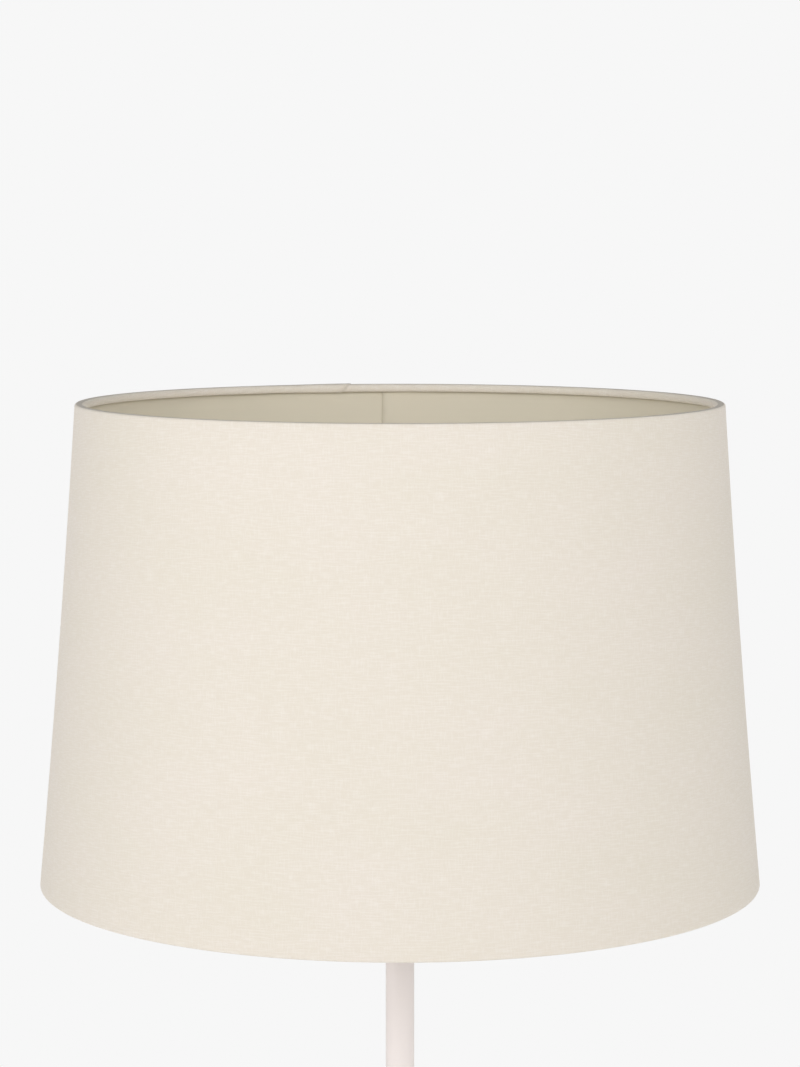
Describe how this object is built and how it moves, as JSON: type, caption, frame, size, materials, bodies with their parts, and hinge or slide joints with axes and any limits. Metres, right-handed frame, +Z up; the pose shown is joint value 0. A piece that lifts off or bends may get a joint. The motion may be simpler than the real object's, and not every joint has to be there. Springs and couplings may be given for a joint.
{
  "type": "tripod floor lamp",
  "caption": "Tripod floor lamp: tapered fabric drum shade on a slim stem, over a hub with folding turned legs.",
  "frame": {"origin": "on the floor, on the lamp's own axis (the stem's), between the three feet", "axes": "+Z up along the stem; -Y is the front; leg 1 points to +Y, the back"},
  "size_m": [0.45, 0.4621, 1.5],
  "materials": {
    "cover_fabric": "cream slub weave, matt",
    "lining": "translucent styrene lining, satin",
    "shade_wire": "white enamelled wire",
    "holder_plastic": "moulded, glossy white",
    "ceramic": "unglazed white steatite",
    "brass": "bright, slightly oxidised",
    "bulb_housing": "moulded, matt white",
    "bulb_globe": "opal frosted",
    "bulb_cap": "nickelled, bright",
    "enamel": "powder coat, satin, pale",
    "fastener": "zinc plated, bright",
    "steel_thread": "zinc plated, passivated",
    "washer": "nylon, natural",
    "gland": "nylon, natural white",
    "terminal_plastic": "polyamide, natural",
    "flex": "pvc sheath, white",
    "core": "pvc insulation",
    "wood": "beech, pale lacquer",
    "rubber": "grey, matt"
  },
  "bodies": {
    "root": {"holder_skirt": "holder_plastic", "holder_cap": "holder_plastic", "holder_insert": "ceramic", "holder_screw_shell": "brass", "holder_contact": "brass", "holder_terminals": "brass", "holder_nipple": "steel_thread", "holder_locknut": "steel_thread", "holder_cores": "core", "shade_ring_nut": "holder_plastic", "bulb_screw_cap": "bulb_cap", "bulb_insulator": "terminal_plastic", "bulb_contact": "bulb_cap", "bulb_housing": "bulb_housing", "bulb_globe": "bulb_globe", "stem_tube": "enamel", "stem_plug": "enamel", "stem_set_screw": "steel_thread", "stem_flex": "flex", "hub_body": "enamel", "hub_cover_plate": "enamel", "hub_cover_screws": "fastener", "cord_gland": "gland", "terminal_block": "terminal_plastic", "terminal_screws": "brass", "hinge_bolts": "fastener", "hinge_nuts": "fastener", "hinge_washers": "washer"},
    "shade": {"shade_cover": "cover_fabric", "shade_lining": "lining", "shade_top_ring": "shade_wire", "shade_bottom_ring": "shade_wire", "shade_fitter_ring": "shade_wire", "shade_fitter_arms": "shade_wire"},
    "switch_bar": {"switch_bar": "holder_plastic", "switch_knobs": "holder_plastic"},
    "leg_1": {"leg_1_bracket": "enamel", "leg_1_shaft": "wood", "leg_1_screws": "fastener", "leg_1_foot": "rubber"},
    "leg_2": {"leg_2_bracket": "enamel", "leg_2_shaft": "wood", "leg_2_screws": "fastener", "leg_2_foot": "rubber"},
    "leg_3": {"leg_3_bracket": "enamel", "leg_3_shaft": "wood", "leg_3_screws": "fastener", "leg_3_foot": "rubber"}
  },
  "joints": [
    {"name": "leg_1_fold", "type": "hinge", "parent": "root", "child": "leg_1", "pos_m": [0, 0.038, 0.88447], "axis": [-1, 0, 0], "range_deg": [0, 12]},
    {"name": "leg_2_fold", "type": "hinge", "parent": "root", "child": "leg_2", "pos_m": [-0.03291, -0.019, 0.88447], "axis": [0.5, -0.866, 0], "range_deg": [0, 12]},
    {"name": "leg_3_fold", "type": "hinge", "parent": "root", "child": "leg_3", "pos_m": [0.03291, -0.019, 0.88447], "axis": [0.5, 0.866, 0], "range_deg": [0, 12]},
    {"name": "switch_push", "type": "slide", "parent": "root", "child": "switch_bar", "axis": [1, 0, 0], "range_m": [0, 0.006]},
    {"name": "shade_turn", "type": "hinge", "parent": "root", "child": "shade", "pos_m": [0, 0, 1.2275], "axis": [0, 0, 1], "continuous": true}
  ]
}
